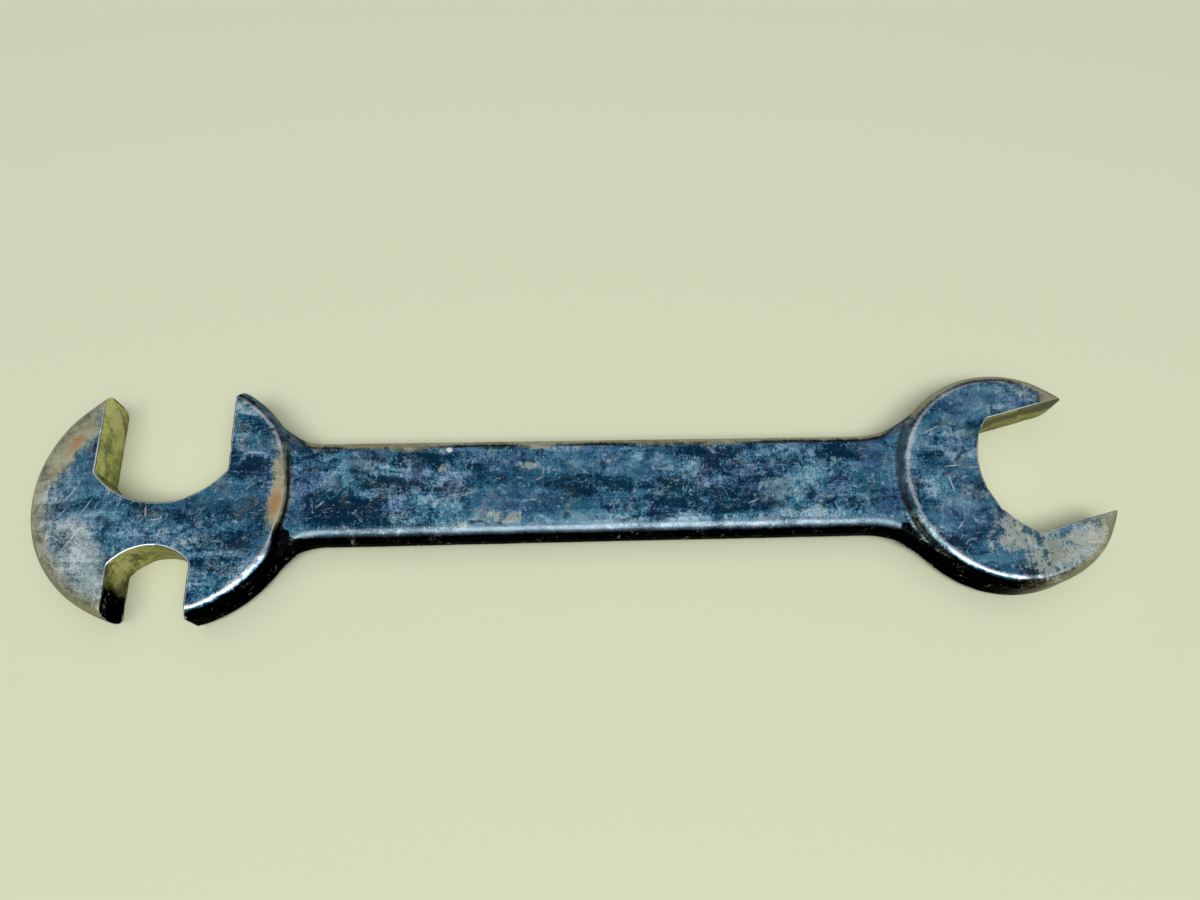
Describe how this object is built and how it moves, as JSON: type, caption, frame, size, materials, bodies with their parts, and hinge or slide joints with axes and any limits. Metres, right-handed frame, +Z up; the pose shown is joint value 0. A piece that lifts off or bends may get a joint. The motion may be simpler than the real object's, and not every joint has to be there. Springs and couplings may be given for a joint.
{
  "type": "double-ended open wrench",
  "caption": "Flat forged wrench with a round head at each end: a larger one with a wide and a narrow open jaw back to back, and a smaller one with an angled open jaw, for turning nuts.",
  "frame": {"origin": "middle of the bounding box in plan, on the plane that the wrench lies on", "axes": "+X along the shank towards the single-jaw head, +Y the way the wide jaw of the double head opens, +Z up from the plane that the wrench lies on"},
  "size_m": [0.2308, 0.0514, 0.0111],
  "materials": {
    "blackened_steel": "worn blue-black oxide over forged and ground steel, bare and rust-stained at rims and jaws"
  },
  "bodies": {
    "root": {"forged_body": "blackened_steel"}
  },
  "joints": []
}
